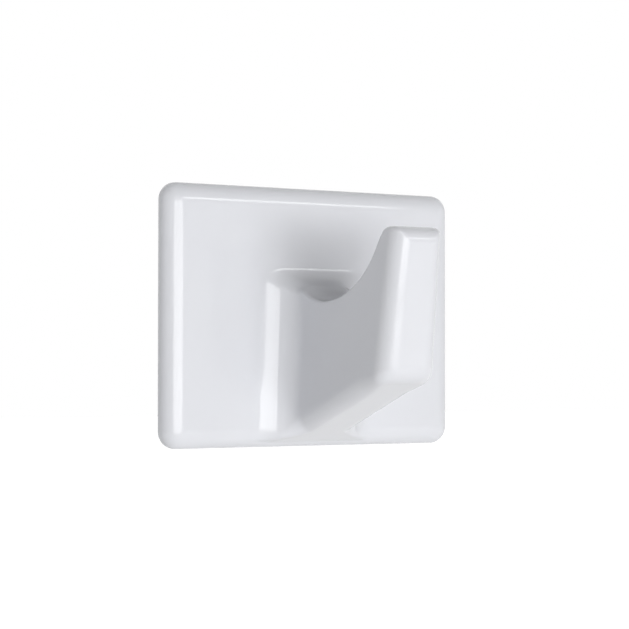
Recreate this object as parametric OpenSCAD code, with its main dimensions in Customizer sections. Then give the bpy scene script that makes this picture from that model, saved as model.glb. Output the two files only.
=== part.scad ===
// Adhesive wall hook: a one-piece moulded hook on a double-sided foam pad with its release paper.
// Millimetres, Z up. The wall is the plane Y = 0 and the hook stands out from it along -Y.
// X = 0 is the plane of symmetry and Z = 0 is half way up the plate.

/* [Back plate] */

// Width of the plate along X
plate_w = 42; // [36:0.5:50]
// Height of the plate along Z
plate_h = 32; // [30:0.5:40]
// Thickness of the plate
plate_t = 2.4; // [2.2:0.1:3.2]
// Corner radius seen from the front
plate_corner_r = 2.2; // [2:0.1:4]
// Quarter-round along the front edge
plate_edge_r = 1.9; // [1:0.1:1.9]

/* [Hook arm] */

// Width of the arm where its underside leaves the plate
arm_w = 9.1; // [8:0.1:12]
// Draft of each side wall, which narrows the arm upward
arm_draft = 2.15; // [1:0.05:3]
// Drop of the underside below the plate's middle, at the plate
arm_drop = 14; // [12:0.1:14]
// Slope of the underside, rising outward
arm_rise = 15.6; // [8:0.1:20]
// Radius of the root along each side of the arm
side_root_r = 3.75; // [1.5:0.05:4.5]
// Radius of the root above the arm
top_root_r = 2.5; // [1:0.05:3]

/* [Nose and lip] */

// Reach of the nose from the plate's face, at the plate's middle height
nose_reach = 21.1; // [18:0.1:24]
// Outward lean of the nose's face
nose_lean = 9.1; // [4:0.1:12]
// Rounding at the foot of the nose
nose_foot_r = 1.9; // [1:0.05:2.4]
// Rounding of the arm's lower edges beside the root
root_edge_r = 0.2; // [0.1:0.05:0.6]
// Height of the lip's top above the plate's middle
lip_top = 10.1; // [9:0.1:13]
// Rounding over the lip
lip_r = 1.4; // [0.8:0.05:1.6]

/* [Saddle] */

// Distance of the saddle's lowest line from the plate's face
saddle_out = 7.6; // [7:0.1:9]
// Height of the saddle's lowest line above the plate's middle
saddle_z = 1.7; // [0:0.1:3]
// Radius of the saddle toward the plate
saddle_rear_r = 7.6; // [6:0.1:9]
// Radius of the saddle toward the lip
saddle_front_r = 12.6; // [11:0.1:14]
// Slope of the lip's inner face
lip_slope = 63; // [55:1:70]
// Height of the shoulder behind the saddle above its lowest line
shoulder_rise = 1.75; // [1:0.05:2.5]

/* [Core pocket] */

// Width of the pocket at the back of the plate
pocket_w = 3.8; // [2:0.1:4]
// Draft of the pocket's sides
pocket_draft = 0.6; // [0.5:0.1:2]
// Wall left between the pocket and the outside of the arm
pocket_wall = 2.2; // [1.6:0.1:3]

/* [Adhesive pad] */

// Border of bare plate all round the pad
pad_margin = 1.2; // [1:0.1:4]
// Corner radius of the die-cut pad
pad_corner_r = 2; // [0.5:0.1:5]
// Thickness of the foam core
foam_t = 1; // [0.6:0.1:1.6]
// Thickness of each adhesive coat
adhesive_t = 0.1; // [0.05:0.01:0.2]
// Thickness of the release paper
liner_t = 0.1; // [0.06:0.01:0.2]

/* [Hidden] */

$fn = 96;
HULL_FN = 32;
OVER = 1;
pad_t = liner_t + 2 * adhesive_t + foam_t;
pad_w = plate_w - 2 * pad_margin;
pad_h = plate_h - 2 * pad_margin;
arm_span = plate_w / 2;
throat_top = plate_h / 2;
shoulder_z = saddle_z + shoulder_rise;
root_top = shoulder_z + top_root_r;

// Height of the underside and distance of the nose's face, each moved inward by an inset
function under_z(out, inset = 0) = out * tan(arm_rise) - arm_drop + inset / cos(arm_rise);
function nose_out(z, inset = 0) = nose_reach + z * tan(nose_lean) - inset / cos(nose_lean);
// Distance at which the two lines above meet
function nose_foot(inset) =
    (nose_out(0, inset) + tan(nose_lean) * under_z(0, inset)) / (1 - tan(nose_lean) * tan(arm_rise));
// Half width of the arm at a height
function arm_half(z) = arm_w / 2 - (z + arm_drop) * tan(arm_draft);

// Flat outline of distance from the wall against height, extruded across X
module across(width) {
    rotate([90, 0, -90])
        linear_extrude(height = width, center = true)
            children();
}

// Rounded rectangle in X and Z, standing out from the wall
module sheet(width, height, corner_r, thickness) {
    rotate([90, 0, 0])
        linear_extrude(height = thickness)
            union() {
                square([width - 2 * corner_r, height], center = true);
                square([width, height - 2 * corner_r], center = true);
                for (sx = [-1, 1], sz = [-1, 1])
                    translate([sx * (width / 2 - corner_r), sz * (height / 2 - corner_r)])
                        circle(corner_r);
            }
}

// Section of the plate's rim, from the corner's centre outward
module rim_section() {
    intersection() {
        union() {
            square([plate_corner_r - plate_edge_r, plate_t]);
            square([plate_corner_r, plate_t - plate_edge_r]);
            translate([plate_corner_r - plate_edge_r, plate_t - plate_edge_r])
                circle(plate_edge_r);
        }
        square([plate_corner_r, plate_t]);
    }
}

// Straight length of rim along one side of the plate, toward +X before it is turned
module rim_side(length, distance) {
    translate([distance, length / 2, 0])
        rotate([90, 0, 0])
            linear_extrude(height = length)
                rim_section();
}

module plate() {
    flat_w = plate_w - 2 * plate_corner_r;
    flat_h = plate_h - 2 * plate_corner_r;
    rotate([90, 0, 0]) {
        translate([-flat_w / 2, -flat_h / 2, 0])
            cube([flat_w, flat_h, plate_t]);
        for (turn = [0, 180]) {
            rotate([0, 0, turn])
                rim_side(flat_h, flat_w / 2);
            rotate([0, 0, turn + 90])
                rim_side(flat_w, flat_h / 2);
        }
        for (turn = [0, 180])
            rotate([0, 0, turn]) {
                translate([flat_w / 2, flat_h / 2, 0])
                    rotate_extrude(angle = 90)
                        rim_section();
                translate([-flat_w / 2, flat_h / 2, 0])
                    rotate([0, 0, 90])
                        rotate_extrude(angle = 90)
                            rim_section();
            }
    }
}

// Solid arm with drafted sides, a leaning nose and a rounded lip, before the saddle is cut
module arm_block() {
    foot = nose_foot(nose_foot_r);
    foot_z = under_z(foot, nose_foot_r);
    lip_z = lip_top - lip_r;
    root_depth = plate_t / 2;
    root_length = root_depth + side_root_r;
    hull()
        for (side = [-1, 1]) {
            translate([side * (arm_half(foot_z) - nose_foot_r), -foot, foot_z])
                sphere(nose_foot_r, $fn = HULL_FN);
            translate([side * (arm_half(lip_z) - lip_r), -nose_out(lip_z, lip_r), lip_z])
                sphere(lip_r, $fn = HULL_FN);
            translate([side * (arm_half(-arm_drop) - root_edge_r), root_depth, under_z(-root_depth, root_edge_r)])
                rotate([90 - arm_rise, 0, 0])
                    cylinder(r = root_edge_r, h = root_length / cos(arm_rise), $fn = HULL_FN);
            translate([side * (arm_half(root_top) - root_edge_r), root_depth, root_top])
                rotate([90, 0, 0])
                    cylinder(r = root_edge_r, h = root_depth, $fn = HULL_FN);
        }
}

// Concave web that carries one side wall into the plate
module side_root() {
    length = root_top + arm_drop;
    translate([arm_half(-arm_drop), 0, -arm_drop])
        rotate([0, -arm_draft, 0])
            translate([0, 0, -OVER])
                linear_extrude(height = length + 2 * OVER)
                    difference() {
                        translate([-OVER, -side_root_r])
                            square([side_root_r + OVER, side_root_r]);
                        translate([side_root_r, -side_root_r])
                            circle(side_root_r);
                    }
}

// Clear space over the saddle, from the plate's face to the lip's inner face
module throat() {
    front_z = saddle_z + saddle_front_r;
    lip_start = [
        saddle_out + saddle_front_r * sin(lip_slope),
        front_z - saddle_front_r * cos(lip_slope)
    ];
    lip_end = lip_start[0] + (throat_top - lip_start[1]) / tan(lip_slope);
    union() {
        intersection() {
            translate([saddle_out, saddle_z + saddle_rear_r])
                circle(saddle_rear_r);
            translate([0, saddle_z])
                square([saddle_out, saddle_rear_r]);
        }
        translate([top_root_r, shoulder_z])
            square([saddle_out - top_root_r, throat_top - shoulder_z]);
        translate([0, root_top])
            square([saddle_out, throat_top - root_top]);
        translate([top_root_r, root_top])
            circle(top_root_r);
        intersection() {
            translate([saddle_out, front_z])
                circle(saddle_front_r);
            translate([saddle_out, saddle_z])
                square([lip_start[0] - saddle_out, front_z - saddle_z]);
        }
        polygon([
            [saddle_out, front_z],
            lip_start,
            [lip_end, throat_top],
            [saddle_out, throat_top]
        ]);
    }
}

// Everything below the underside's plane
module under_cut() {
    polygon([
        [-OVER, under_z(-OVER)],
        [nose_reach, under_z(nose_reach)],
        [nose_reach, -plate_h],
        [-OVER, -plate_h]
    ]);
}

module arm() {
    difference() {
        union() {
            arm_block();
            difference() {
                union() {
                    side_root();
                    mirror([1, 0, 0])
                        side_root();
                }
                across(arm_span)
                    under_cut();
            }
        }
        across(arm_span)
            throat();
    }
}

// Blind pocket from the back that keeps the arm's walls even
module core_pocket() {
    depth = nose_out(-arm_drop / 2) - pocket_wall - nose_foot_r;
    length = depth + plate_t;
    end_half = pocket_w / 2 - length * tan(pocket_draft);
    intersection() {
        across(arm_span)
            polygon([
                [-plate_t - OVER, under_z(0, pocket_wall)],
                [0, under_z(0, pocket_wall)],
                [depth, under_z(depth, pocket_wall)],
                [depth, saddle_z - pocket_wall - depth * tan(pocket_draft)],
                [-plate_t - OVER, saddle_z - pocket_wall]
            ]);
        translate([0, plate_t, -plate_h])
            linear_extrude(height = 2 * plate_h)
                polygon([
                    [-pocket_w / 2, OVER],
                    [pocket_w / 2, OVER],
                    [pocket_w / 2, 0],
                    [end_half, -length],
                    [-end_half, -length],
                    [-pocket_w / 2, 0]
                ]);
    }
}

module hook_body() {
    color([0.90, 0.91, 0.93])
        translate([0, -pad_t, 0])
            difference() {
                union() {
                    plate();
                    translate([0, -plate_t, 0])
                        arm();
                }
                translate([0, -plate_t, 0])
                    core_pocket();
            }
}

module plate_adhesive() {
    color([0.93, 0.90, 0.80])
        translate([0, -(liner_t + adhesive_t + foam_t), 0])
            sheet(pad_w, pad_h, pad_corner_r, adhesive_t);
}

module foam_pad() {
    color([0.96, 0.96, 0.94])
        translate([0, -(liner_t + adhesive_t), 0])
            sheet(pad_w, pad_h, pad_corner_r, foam_t);
}

module wall_adhesive() {
    color([0.93, 0.90, 0.80])
        translate([0, -liner_t, 0])
            sheet(pad_w, pad_h, pad_corner_r, adhesive_t);
}

module release_liner() {
    color([0.95, 0.91, 0.74])
        sheet(pad_w, pad_h, pad_corner_r, liner_t);
}

hook_body();
plate_adhesive();
foam_pad();
wall_adhesive();
release_liner();
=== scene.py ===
import math

import bmesh
import bpy
from mathutils import Matrix, Vector, noise


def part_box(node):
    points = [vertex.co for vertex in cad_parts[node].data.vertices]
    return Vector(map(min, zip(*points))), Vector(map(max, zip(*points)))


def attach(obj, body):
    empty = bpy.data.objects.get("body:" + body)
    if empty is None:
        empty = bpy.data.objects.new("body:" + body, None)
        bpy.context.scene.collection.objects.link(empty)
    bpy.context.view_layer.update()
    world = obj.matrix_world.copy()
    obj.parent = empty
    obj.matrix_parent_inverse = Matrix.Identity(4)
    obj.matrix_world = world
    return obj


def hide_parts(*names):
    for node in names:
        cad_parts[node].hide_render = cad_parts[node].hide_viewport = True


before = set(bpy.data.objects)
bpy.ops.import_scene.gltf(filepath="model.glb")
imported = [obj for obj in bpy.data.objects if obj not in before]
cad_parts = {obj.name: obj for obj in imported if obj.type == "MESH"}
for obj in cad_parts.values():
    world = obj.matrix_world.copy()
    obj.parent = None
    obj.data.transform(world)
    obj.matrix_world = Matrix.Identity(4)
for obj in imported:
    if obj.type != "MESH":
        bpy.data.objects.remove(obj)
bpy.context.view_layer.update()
scene = bpy.context.scene
scene.view_settings.view_transform = "Standard"

# Camera. The hook is seen from its left and a little below its middle, from about six plate widths away,
# with a long lens that looks up by little more than a degree.

PHOTO_SIDE = 629
FOCAL_PIXELS = 2046.0
SENSOR_WIDTH = 36.0
VIEW_TURN = math.radians(-33.0)
HORIZON_BELOW_MIDDLE = 49.3
VIEW_PITCH = math.atan2(HORIZON_BELOW_MIDDLE, FOCAL_PIXELS)
VIEW_ROLL = math.radians(0.06)
VIEW_PLACE = (-0.13828, -0.21641, -0.00577)
NEAR_LIMIT = 0.01

lens = bpy.data.cameras.new("camera")
lens.sensor_width = SENSOR_WIDTH
lens.lens = FOCAL_PIXELS / PHOTO_SIDE * SENSOR_WIDTH
lens.clip_start = NEAR_LIMIT
camera = bpy.data.objects.new("camera", lens)
scene.collection.objects.link(camera)
camera.matrix_world = (
    Matrix.Translation(VIEW_PLACE)
    @ Matrix.Rotation(VIEW_TURN, 4, "Z")
    @ Matrix.Rotation(math.pi / 2 + VIEW_PITCH, 4, "X")
    @ Matrix.Rotation(VIEW_ROLL, 4, "Z")
)
scene.camera = camera

# Hook moulding. Plate and arm are one injection moulding in glossy white plastic, so every inner corner has a
# root radius and every outer edge a rounding. Its form is a distance field of those faces and radii, which
# Geometry Nodes turn into a mesh and then settle onto the exact surface.


class Wire:
    """A node's socket. Arithmetic on it adds Math nodes to its tree."""

    def __init__(self, socket):
        self.socket = socket

    @classmethod
    def node(cls, tree, kind, settings=None, inputs=None, output=0):
        """Adds any other node: its settings first, then the values or links of its sockets."""
        made = tree.nodes.new(kind)
        for name, value in (settings or {}).items():
            setattr(made, name, value)
        for key, value in (inputs or {}).items():
            if isinstance(value, cls):
                tree.links.new(value.socket, made.inputs[key])
            else:
                made.inputs[key].default_value = value
        return cls(made.outputs[output])

    def maths(self, operation, *others):
        inputs = dict(enumerate((self, *others)))
        return Wire.node(self.socket.id_data, "ShaderNodeMath", {"operation": operation}, inputs)

    def __add__(self, other):
        return self.maths("ADD", other)

    def __sub__(self, other):
        return self.maths("SUBTRACT", other)

    def __rsub__(self, other):
        return self.maths("MULTIPLY_ADD", -1.0, other)

    def __mul__(self, other):
        return self.maths("MULTIPLY", other)

    def __truediv__(self, other):
        return self.maths("DIVIDE", other)

    def __neg__(self):
        return self * -1.0

    __radd__ = __add__
    __rmul__ = __mul__

    def most(self, other):
        return self.maths("MAXIMUM", other)

    def least(self, other):
        return self.maths("MINIMUM", other)


MOULDING_MM = {
    "Plate width": 42.0,
    "Plate height": 32.0,
    "Plate thickness": 2.4,
    "Plate corner radius": 2.2,
    "Rim run": 2.45,
    "Rim fall": 1.8,
    "Back edge radius": 0.25,
    "Pad thickness": 1.3,
    "Arm half width": 4.32,
    "Arm drop": 15.15,
    "Nose reach": 21.35,
    "Nose edge radius": 2.1,
    "Under edge radius": 2.1,
    "Nose foot radius": 1.3,
    "Lip top": 10.1,
    "Lip inner radius": 0.65,
    "Lip side radius": 0.8,
    "Crisp edge radius": 0.3,
    "Saddle distance": 7.45,
    "Saddle height": 1.75,
    "Saddle rear radius": 8.0,
    "Saddle front radius": 12.5,
    "Side root radius": 4.5,
    "Root height": 3.75,
    "Top root radius": 2.5,
    "Root ridge radius": 2.6,
}
ARM_DRAFT = math.radians(1.75)
ARM_TAPER = math.radians(0.3)
ARM_RISE = math.radians(20.5)
NOSE_LEAN = math.radians(7.75)
LIP_SLOPE = math.radians(63.9)

# Where radii change along an edge: heights for the lip, else distances out from the plate's face
LIP_SOFTENS_MM = (8.3, 10.0)
RIDGE_SHARPENS_MM = (1.5, 4.5)
CROWN_OPENS_MM = (5.0, 12.0)
CROWN_OPENING_MM = 12.0
UNDER_EDGE_SOFTENS_MM = (0.4, 3.0)
NOSE_FOOT_SHARPENS_MM = (15.0, 19.0)

MM_PER_METRE = 1000.0
MOULDING_CELL_MM = 0.24
MOULDING_MARGIN_MM = 1.0
SKIN_LEVEL = 1.0
SETTLE_STEP_MM = 0.02
SETTLE_PASSES = 2


def outer_edge(one, other, radius):
    """Distance to two faces that meet in a rounded outer edge."""
    a, b = (one + radius).most(0.0), (other + radius).most(0.0)
    return one.most(other).least(-radius) + (a * a + b * b).maths("SQRT")


def inner_root(one, other, radius):
    """Distance to two faces that meet in a concave root."""
    a, b = (radius - one).most(0.0), (radius - other).most(0.0)
    return one.least(other).most(radius) - (a * a + b * b).maths("SQRT")


def even_edge(one, other, radius):
    """Distance to two faces whose rounded outer edge keeps its radius at every depth."""
    apart = (one - other).maths("ABSOLUTE").least(radius)
    reach = (radius * radius * 2.0 - apart * apart).maths("SQRT")
    return one.most(other) + radius - (apart + reach) * 0.5


def hook_distance(tree, place, mm):
    """Distance from the moulding's surface at a place in millimetres, negative inside the plastic."""
    x, y, z = (Wire.node(tree, "ShaderNodeSeparateXYZ", inputs={0: place}, output=axis) for axis in "XYZ")
    half = x.maths("ABSOLUTE")
    out = -y - mm["Pad thickness"] - mm["Plate thickness"]

    def ease(value, span, start, end):
        low, high = span
        limits = {"Value": value, "From Min": low, "From Max": high, "To Min": start, "To Max": end}
        return Wire.node(tree, "ShaderNodeMapRange", {"interpolation_type": "SMOOTHSTEP"}, limits)

    def round_from(distance, height):
        a, b = out - distance, z - height
        return (a * a + b * b).maths("SQRT")

    across = half - mm["Plate width"] * 0.5 + mm["Plate corner radius"]
    up = z.maths("ABSOLUTE") - mm["Plate height"] * 0.5 + mm["Plate corner radius"]
    past, over = across.most(0.0), up.most(0.0)
    outline = (past * past + over * over).maths("SQRT") + across.most(up).least(0.0)
    outline = outline - mm["Plate corner radius"]
    plate = outer_edge(outline, out * (mm["Rim run"] / mm["Rim fall"]), mm["Rim run"])

    side = half - mm["Arm half width"] + (z + mm["Arm drop"]) * math.tan(ARM_DRAFT)
    side = (side + out * math.tan(ARM_TAPER)) * math.cos(ARM_DRAFT)
    nose = (out - mm["Nose reach"] - z * math.tan(NOSE_LEAN)) * math.cos(NOSE_LEAN)
    under = (out * math.tan(ARM_RISE) - mm["Arm drop"] - z) * math.cos(ARM_RISE)
    under = under.most(-z - mm["Plate height"] * 0.5)

    rear_z = mm["Saddle height"] + mm["Saddle rear radius"]
    rear = mm["Saddle rear radius"] - round_from(mm["Saddle distance"], rear_z)
    centre_z = mm["Saddle height"] + mm["Saddle front radius"]
    bowl = mm["Saddle front radius"] - round_from(mm["Saddle distance"], centre_z)
    ahead, rise = out - mm["Saddle distance"], z - centre_z
    lip_face = mm["Saddle front radius"] - (ahead * math.sin(LIP_SLOPE) - rise * math.cos(LIP_SLOPE))
    on_lip = (ahead * math.cos(LIP_SLOPE) + rise * math.sin(LIP_SLOPE)).maths("GREATER_THAN", 0.0)
    front = bowl + (lip_face - bowl) * on_lip
    in_front = ahead.maths("GREATER_THAN", 0.0)
    saddle = rear + (front - rear) * in_front
    top = outer_edge(saddle, z - mm["Lip top"], mm["Lip inner radius"])

    crown = (z - mm["Root height"]) * (mm["Side root radius"] / mm["Top root radius"])
    crown = crown - ease(out, CROWN_OPENS_MM, 0.0, CROWN_OPENING_MM)
    ridge = ease(out, RIDGE_SHARPENS_MM, mm["Root ridge radius"], mm["Crisp edge radius"])
    root = inner_root(plate, even_edge(side, crown, ridge), mm["Side root radius"])
    arm = outer_edge(top, root, ease(z, LIP_SOFTENS_MM, mm["Crisp edge radius"], mm["Lip side radius"]))
    arm = outer_edge(arm, nose, mm["Nose edge radius"])
    below = ease(out, UNDER_EDGE_SOFTENS_MM, mm["Crisp edge radius"], mm["Under edge radius"])
    foot = ease(out, NOSE_FOOT_SHARPENS_MM, mm["Under edge radius"], mm["Nose foot radius"])
    below = below.least(foot)
    arm = outer_edge(arm, under, below)
    return outer_edge(plate.least(arm), -out - mm["Plate thickness"], mm["Back edge radius"])


def named_inputs(tree):
    """Gives a tree an input for each size and returns the node that holds them."""
    for name, value in MOULDING_MM.items():
        size = tree.interface.new_socket(name=name, in_out="INPUT", socket_type="NodeSocketFloat")
        size.default_value = value
    return tree.nodes.new("NodeGroupInput")


distance_tree = bpy.data.node_groups.new("hook_distance", "GeometryNodeTree")
distance_tree.interface.new_socket(name="Place", in_out="INPUT", socket_type="NodeSocketVector")
distance_tree.interface.new_socket(name="Distance", in_out="OUTPUT", socket_type="NodeSocketFloat")
given = named_inputs(distance_tree)
sizes = {name: Wire(given.outputs[name]) for name in MOULDING_MM}
found = hook_distance(distance_tree, Wire(given.outputs["Place"]), sizes)
distance_tree.links.new(found.socket, distance_tree.nodes.new("NodeGroupOutput").inputs["Distance"])

hook_white = bpy.data.materials.new("hook_white")

moulding_tree = bpy.data.node_groups.new("hook_moulding", "GeometryNodeTree")
moulding_tree.interface.new_socket(name="Geometry", in_out="OUTPUT", socket_type="NodeSocketGeometry")
given = named_inputs(moulding_tree)
sizes = {name: Wire(given.outputs[name]) for name in MOULDING_MM}


def distance_at(place):
    """Distance from the moulding's surface, by the group above."""
    inputs = {**sizes, "Place": place}
    return Wire.node(moulding_tree, "GeometryNodeGroup", {"node_tree": distance_tree}, inputs)


def vector(operation, *values, output=0):
    """Adds a Vector Math node."""
    inputs = dict(enumerate(values))
    return Wire.node(moulding_tree, "ShaderNodeVectorMath", {"operation": operation}, inputs, output)


low, high = (Vector(corner) * MM_PER_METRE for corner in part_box("hook_body"))
low -= Vector((MOULDING_MARGIN_MM,) * 3)
high += Vector((MOULDING_MARGIN_MM,) * 3)
cells = [math.ceil(length / MOULDING_CELL_MM) for length in high - low]
position = Wire.node(moulding_tree, "GeometryNodeInputPosition")
volume = Wire.node(
    moulding_tree,
    "GeometryNodeVolumeCube",
    inputs={
        "Density": SKIN_LEVEL - distance_at(position),
        "Background": 0.0,
        "Min": low,
        "Max": [start + count * MOULDING_CELL_MM for start, count in zip(low, cells)],
        "Resolution X": cells[0] + 1,
        "Resolution Y": cells[1] + 1,
        "Resolution Z": cells[2] + 1,
    },
)
skin = Wire.node(
    moulding_tree, "GeometryNodeVolumeToMesh", inputs={"Volume": volume, "Threshold": SKIN_LEVEL}
)
for _ in range(SETTLE_PASSES):
    here = distance_at(position)
    slopes = {}
    for axis, name in enumerate("XYZ"):
        nudge = [SETTLE_STEP_MM if axis == other else 0.0 for other in range(3)]
        slopes[name] = (distance_at(vector("ADD", position, nudge)) - here) / SETTLE_STEP_MM
    slope = Wire.node(moulding_tree, "ShaderNodeCombineXYZ", inputs=slopes)
    steep = vector("DOT_PRODUCT", slope, slope, output="Value")
    back = Wire.node(
        moulding_tree,
        "ShaderNodeVectorMath",
        {"operation": "SCALE"},
        {"Vector": slope, "Scale": -here / steep},
    )
    skin = Wire.node(moulding_tree, "GeometryNodeSetPosition", inputs={"Geometry": skin, "Offset": back})
skin = Wire.node(
    moulding_tree, "GeometryNodeTransform", inputs={"Geometry": skin, "Scale": (1.0 / MM_PER_METRE,) * 3}
)
skin = Wire.node(moulding_tree, "GeometryNodeSetShadeSmooth", inputs={"Geometry": skin})
skin = Wire.node(moulding_tree, "GeometryNodeRealizeInstances", inputs={"Geometry": skin})
skin = Wire.node(
    moulding_tree, "GeometryNodeSetMaterial", inputs={"Geometry": skin, "Material": hook_white}
)
moulding_tree.links.new(skin.socket, moulding_tree.nodes.new("NodeGroupOutput").inputs["Geometry"])

hook = bpy.data.objects.new("hook_moulding", bpy.data.meshes.new("hook_moulding_seed"))
scene.collection.objects.link(hook)
growth = hook.modifiers.new("hook_moulding", "NODES")
growth.node_group = moulding_tree
for item in moulding_tree.interface.items_tree:
    if item.in_out == "INPUT":
        growth[item.identifier] = MOULDING_MM[item.name]
hook_mesh = bpy.data.meshes.new_from_object(hook.evaluated_get(bpy.context.evaluated_depsgraph_get()))
hook.modifiers.remove(growth)
hook.data = hook_mesh

HOOK_WHITE = (0.795, 0.805, 0.84)
HOOK_WHITE_COOL = (0.78, 0.79, 0.83)
PLASTIC_IOR = 1.5
PLASTIC_ROUGHNESS = 0.07
FLOW_ROUGHNESS = 0.03
POLISH_ROUGHNESS = 0.03
FLOW_PER_METRE = 95.0
POLISH_PER_METRE = 2400.0
WAVES_PER_METRE = 240.0
WAVE_DEPTH = 0.00002
MIX_FACTOR, MIX_FROM, MIX_TO, MIX_RESULT = 0, 6, 7, 2


def surface_of(material):
    """Gives a new material its nodes. Returns its tree, its surface's sockets and a place in metres."""
    material.use_nodes = True
    tree = material.node_tree
    place = Wire.node(tree, "ShaderNodeTexCoord", output="Object")
    return tree, tree.nodes["Principled BSDF"].inputs, place


def mottle(tree, place, per_metre, detail):
    """A soft random pattern from 0 to 1, with so many patches to the metre."""
    inputs = {"Vector": place, "Scale": per_metre, "Detail": detail}
    return Wire.node(tree, "ShaderNodeTexNoise", inputs=inputs)


def stretched(tree, place, scale):
    """The place, scaled along each axis."""
    return Wire.node(tree, "ShaderNodeMapping", inputs={"Vector": place, "Scale": scale})


def blend(one, other, share):
    """A share of one pattern and the rest of the other."""
    return one * share + other * (1.0 - share)


def tint(tree, amount, one, other):
    """A colour that goes from one to the other as the amount goes from 0 to 1."""
    colours = {MIX_FACTOR: amount, MIX_FROM: (*one, 1.0), MIX_TO: (*other, 1.0)}
    return Wire.node(tree, "ShaderNodeMix", {"data_type": "RGBA"}, colours, output=MIX_RESULT)


def relief(tree, height, metres):
    """A fine relief on the surface, as deep as the given metres."""
    inputs = {"Strength": 1.0, "Distance": metres, "Height": height}
    return Wire.node(tree, "ShaderNodeBump", inputs=inputs)


def finish(tree, surface, **wires):
    """Links what changes over a surface to its sockets, such as base_color to Base Color."""
    for name, wire in wires.items():
        tree.links.new(wire.socket, surface[name.replace("_", " ").title()])


tree, plastic, place = surface_of(hook_white)
flow = mottle(tree, place, FLOW_PER_METRE, detail=1.0)
polish = mottle(tree, place, POLISH_PER_METRE, detail=3.0)
waves = mottle(tree, place, WAVES_PER_METRE, detail=1.0)
plastic["IOR"].default_value = PLASTIC_IOR
finish(
    tree,
    plastic,
    base_color=tint(tree, flow, HOOK_WHITE, HOOK_WHITE_COOL),
    roughness=PLASTIC_ROUGHNESS + flow * FLOW_ROUGHNESS + polish * POLISH_ROUGHNESS,
    normal=relief(tree, waves, WAVE_DEPTH),
)
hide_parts("hook_body")
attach(hook, "hook")

# Plate adhesive. A thin coat of clear acrylic glue, rolled onto the foam from a wide head, holds the pad to the
# plate. Only its edge shows, so the CAD film stays and gets the glue's amber, its coating lines and its satin.

GLUE_AMBER = (0.80, 0.72, 0.53)
GLUE_PALE = (0.86, 0.81, 0.67)
GLUE_ROUGHNESS = 0.24
GLUE_LINE_ROUGHNESS = 0.16
GLUE_LINES_PER_METRE = 900.0
GLUE_LINE_STRETCH = (1.0, 1.0, 0.06)
GLUE_SPECKS_PER_METRE = 2200.0
GLUE_RELIEF = 0.00003

glue = bpy.data.materials.new("glue_film")
tree, film, place = surface_of(glue)
lines = mottle(tree, stretched(tree, place, GLUE_LINE_STRETCH), GLUE_LINES_PER_METRE, detail=3.0)
specks = mottle(tree, place, GLUE_SPECKS_PER_METRE, detail=2.0)
finish(
    tree,
    film,
    base_color=tint(tree, blend(lines, specks, share=0.7), GLUE_AMBER, GLUE_PALE),
    roughness=GLUE_ROUGHNESS + lines * GLUE_LINE_ROUGHNESS,
    normal=relief(tree, blend(lines, specks, share=0.6), GLUE_RELIEF),
)


def coat(node, material):
    """Puts a material on every slot of a CAD node."""
    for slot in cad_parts[node].material_slots:
        slot.material = material


coat("plate_adhesive", glue)

# Foam pad. The core of the double-sided pad is soft white foam with fine closed cells, cut from a sheet with a
# steel rule die. The knife nips the edge in a little, and the cut opens the cells there.

FOAM_WHITE = (0.87, 0.87, 0.85)
FOAM_SHADE = (0.79, 0.79, 0.76)
FOAM_CORNER = 0.002
FOAM_STEP = 0.00028
FOAM_RINGS = 8
FOAM_NIP = 0.00007
FOAM_CELL = 0.00035
FOAM_CELL_DEPTH = 0.00005
FOAM_IOR = 1.4
FOAM_ROUGHNESS = 0.82
FOAM_BLOTCH_ROUGHNESS = 0.12
FOAM_BLOTCHES_PER_METRE = 260.0
FOAM_RELIEF = 0.00007

foam_low, foam_high = (Vector(corner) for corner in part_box("foam_pad"))


def pad_outline(half_width, half_height, corner, step):
    """Points once round a rectangle with round corners, each with the direction out of the pad."""
    points = []
    for turn, (side_x, side_z) in enumerate(((1, -1), (1, 1), (-1, 1), (-1, -1))):
        centre = Vector((side_x * (half_width - corner), side_z * (half_height - corner)))
        straight = 2 * ((half_width if turn % 2 else half_height) - corner)
        bends = math.ceil(corner * math.pi / 2 / step)
        for bend in range(bends):
            angle = (turn - 1 + bend / bends) * math.pi / 2
            way = Vector((math.cos(angle), math.sin(angle)))
            points.append((centre + way * corner, way))
        angle = turn * math.pi / 2
        way = Vector((math.cos(angle), math.sin(angle)))
        along = Vector((-math.sin(angle), math.cos(angle)))
        pieces = math.ceil(straight / step)
        for piece in range(pieces):
            points.append((centre + way * corner + along * (straight * piece / pieces), way))
    return points


foam_middle = (foam_low + foam_high) / 2
foam_half = (foam_high - foam_low) / 2
outline = pad_outline(foam_half.x, foam_half.z, FOAM_CORNER, FOAM_STEP)
shape = bmesh.new()
rings = []
for level in range(FOAM_RINGS + 1):
    part = level / FOAM_RINGS
    deep = foam_low.y + (foam_high.y - foam_low.y) * part
    ring = []
    for point, way in outline:
        spot = Vector((point.x, deep, point.y))
        waist = math.sin(math.pi * part)
        nip = FOAM_NIP * waist
        cell = FOAM_CELL_DEPTH * (0.5 + 0.5 * noise.noise(spot / FOAM_CELL)) * waist ** 0.5
        edge = point - way * (nip + cell)
        ring.append(shape.verts.new((foam_middle.x + edge.x, deep, foam_middle.z + edge.y)))
    rings.append(ring)
for lower, upper in zip(rings, rings[1:]):
    for spot in range(len(outline)):
        following = (spot + 1) % len(outline)
        shape.faces.new((lower[spot], lower[following], upper[following], upper[spot])).smooth = True
shape.faces.new(rings[0])
shape.faces.new(rings[-1])
bmesh.ops.recalc_face_normals(shape, faces=shape.faces)
foam_mesh = bpy.data.meshes.new("foam_core")
shape.to_mesh(foam_mesh)
shape.free()
foam = bpy.data.objects.new("foam_core", foam_mesh)
scene.collection.objects.link(foam)

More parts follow.
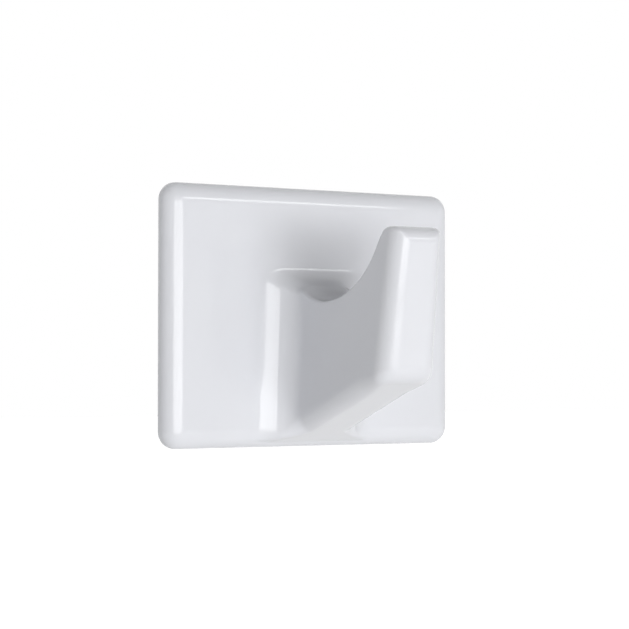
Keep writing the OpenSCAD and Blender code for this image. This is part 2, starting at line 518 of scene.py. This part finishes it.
foam_white = bpy.data.materials.new("foam_white")
tree, soft, place = surface_of(foam_white)
# The foam's colour is partly painted shade: it darkens towards FOAM_SHADE in the grooves between the cells, where
# the relief made from the same cells is lowest. The rest of the darkening is random blotches of tone.
cells = Wire.node(
    tree,
    "ShaderNodeTexVoronoi",
    inputs={"Vector": place, "Scale": 1.0 / FOAM_CELL, "Randomness": 1.0},
    output="Distance",
)
blotch = mottle(tree, place, FOAM_BLOTCHES_PER_METRE, detail=2.0)
soft["IOR"].default_value = FOAM_IOR
finish(
    tree,
    soft,
    base_color=tint(tree, blend(cells, blotch, share=0.8), FOAM_WHITE, FOAM_SHADE),
    roughness=FOAM_ROUGHNESS + blotch * FOAM_BLOTCH_ROUGHNESS,
    normal=relief(tree, 1.0 - cells, FOAM_RELIEF),
)
foam_mesh.materials.append(foam_white)
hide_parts("foam_pad")
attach(foam, "hook")

# Wall adhesive. The same acrylic glue, rolled onto the other side of the foam, sticks the hook to the wall once
# the paper is off. It shows as a whole face then, so the coating lines run over all of it.

coat("wall_adhesive", glue)

# Release paper. A sheet of dense, calendered paper with a silicone coat keeps the wall side from sticking until
# the hook is put up. It is cut with the pad, lies flat on the glue, and comes off to the back.

PAPER_HONEY = (0.80, 0.71, 0.47)
PAPER_CREAM = (0.88, 0.82, 0.63)
PAPER_ROUGHNESS = 0.3
PAPER_FIBRE_ROUGHNESS = 0.2
PAPER_CLOUDS_PER_METRE = 420.0
LONG_FIBRES_PER_METRE = 5200.0
LONG_FIBRE_STRETCH = (0.16, 1.0, 1.0)
CROSS_FIBRES_PER_METRE = 3600.0
CROSS_FIBRE_STRETCH = (1.0, 1.0, 0.3)
PAPER_RELIEF = 0.00002

paper = bpy.data.materials.new("release_paper")
tree, sheet, place = surface_of(paper)
clouds = mottle(tree, place, PAPER_CLOUDS_PER_METRE, detail=4.0)
along = mottle(tree, stretched(tree, place, LONG_FIBRE_STRETCH), LONG_FIBRES_PER_METRE, detail=2.0)
across = mottle(tree, stretched(tree, place, CROSS_FIBRE_STRETCH), CROSS_FIBRES_PER_METRE, detail=2.0)
fibres = blend(along, across, share=0.6)
finish(
    tree,
    sheet,
    base_color=tint(tree, blend(clouds, fibres, share=0.55), PAPER_HONEY, PAPER_CREAM),
    roughness=PAPER_ROUGHNESS + fibres * PAPER_FIBRE_ROUGHNESS,
    normal=relief(tree, blend(clouds, fibres, share=0.6), PAPER_RELIEF),
)
coat("release_liner", paper)

# Studio. A softbox in front of the hook gives its highlights, a fill just below that gloss doesn't mirror evens the
# shading, and a small lamp at the upper right draws the line along the top root. The pale floor keeps the hook's
# shadow. The room is dim in front and white behind, but the camera and reflections see it white all round.

FLOOR_Z = -0.13
FLOOR_SIDE = 8.0
FLOOR_COLOUR = (0.88, 0.88, 0.88)
FLOOR_GLOW_SEEN = 0.75
ROOM_FRONT = 0.1
ROOM_BACK = 1.0
BACKDROP_EDGE = (0.0, 0.5)

floor_mesh = bpy.data.meshes.new("floor")
shape = bmesh.new()
bmesh.ops.create_grid(shape, x_segments=1, y_segments=1, size=FLOOR_SIDE / 2)
bmesh.ops.translate(shape, verts=shape.verts, vec=(0.0, 0.0, FLOOR_Z))
shape.to_mesh(floor_mesh)
shape.free()
floor = bpy.data.objects.new("floor", floor_mesh)
scene.collection.objects.link(floor)


def seen_directly(tree):
    """Is 1 for what the camera sees straight, in a reflection or through a clear piece."""
    camera_ray = Wire.node(tree, "ShaderNodeLightPath", output="Is Camera Ray")
    rays = camera_ray.socket.node.outputs
    return camera_ray.most(Wire(rays["Is Glossy Ray"])).most(Wire(rays["Is Transmission Ray"]))


floor_pale = bpy.data.materials.new("floor_pale")
floor_pale.use_nodes = True
tree = floor_pale.node_tree
pale = tree.nodes["Principled BSDF"].inputs
pale["Base Color"].default_value = (*FLOOR_COLOUR, 1.0)
pale["Specular IOR Level"].default_value = 0.0
pale["Emission Strength"].default_value = 1.0
glow = seen_directly(tree) * FLOOR_GLOW_SEEN
tree.links.new(glow.socket, pale["Emission Color"])
floor_mesh.materials.append(floor_pale)


def softbox(name, place, width, height, mirrored, watts):
    """A rectangular light that faces the hook, and that gloss mirrors or not."""
    box = bpy.data.lights.new(name, "AREA")
    box.shape = "RECTANGLE"
    box.size = width
    box.size_y = height
    box.energy = watts
    light = bpy.data.objects.new(name, box)
    scene.collection.objects.link(light)
    light.location = place
    light.rotation_euler = Vector(place).to_track_quat("Z", "Y").to_euler()
    light.visible_camera = False
    light.visible_glossy = mirrored


softbox("front_light", place=(-0.04, -0.66, -0.015), width=0.54, height=0.2, mirrored=True, watts=1.35)
softbox("low_fill", place=(-0.06, -0.66, -0.05), width=0.54, height=0.14, mirrored=False, watts=1.5)
softbox("right_light", place=(0.358, -0.56, 0.25), width=0.13, height=0.09, mirrored=True, watts=0.18)

world = bpy.data.worlds.new("room")
scene.world = world
world.use_nodes = True
tree = world.node_tree
room = tree.nodes["Background"].inputs
room["Color"].default_value = (1.0, 1.0, 1.0, 1.0)
way = Wire.node(tree, "ShaderNodeTexCoord", output="Generated")
depth = Wire.node(tree, "ShaderNodeSeparateXYZ", inputs={0: way}, output="Y")
edge_low, edge_high = BACKDROP_EDGE
limits = {"From Min": edge_low, "From Max": edge_high, "To Min": ROOM_FRONT, "To Max": ROOM_BACK}
lit = Wire.node(
    tree, "ShaderNodeMapRange", {"interpolation_type": "SMOOTHSTEP"}, {"Value": depth, **limits}
)
tree.links.new(lit.most(seen_directly(tree)).socket, room["Strength"])
